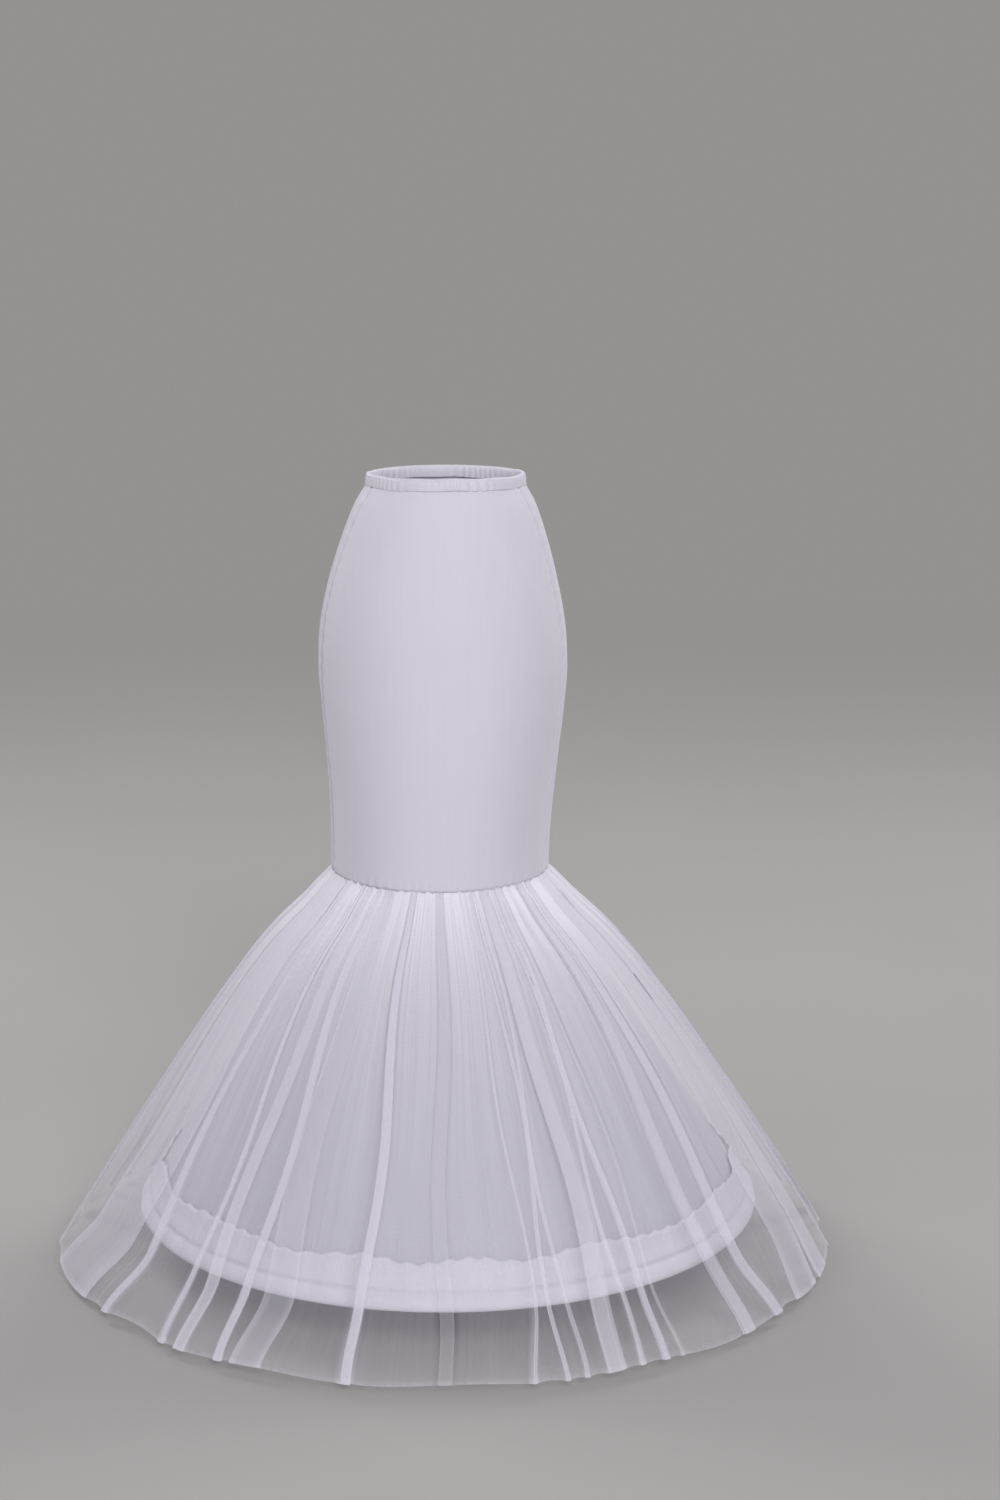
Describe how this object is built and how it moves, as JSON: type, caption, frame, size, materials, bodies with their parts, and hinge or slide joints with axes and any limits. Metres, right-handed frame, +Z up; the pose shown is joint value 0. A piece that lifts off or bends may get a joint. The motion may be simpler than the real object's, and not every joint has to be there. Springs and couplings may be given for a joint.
{
  "type": "hooped petticoat",
  "caption": "Trumpet-shaped hooped petticoat: elastic waist, fitted stretch body to the knee, flared lining on a sprung hoop in a casing, and a gathered sheer tulle flounce over it.",
  "frame": {"origin": "centre of the waist opening, at the top edge of the waist casing", "axes": "+Z up along the wearer, -Y the front, +X to the right as seen from the front"},
  "size_m": [1.115, 1.1108, 1.092],
  "materials": {
    "casing_cloth": "satin",
    "elastic": "matte",
    "body_knit": "matte",
    "lining_cloth": "satin",
    "hoop_tape": "satin",
    "sleeve_metal": "satin",
    "tulle": "sheer"
  },
  "bodies": {
    "root": {"waist_casing": "casing_cloth", "waist_elastic": "elastic", "body_front": "body_knit", "body_back": "body_knit", "lining_front": "lining_cloth", "lining_back": "lining_cloth", "hoop_casing": "casing_cloth", "hoop_bone": "hoop_tape", "hoop_connector": "sleeve_metal", "tulle_flounce": "tulle"}
  },
  "joints": []
}
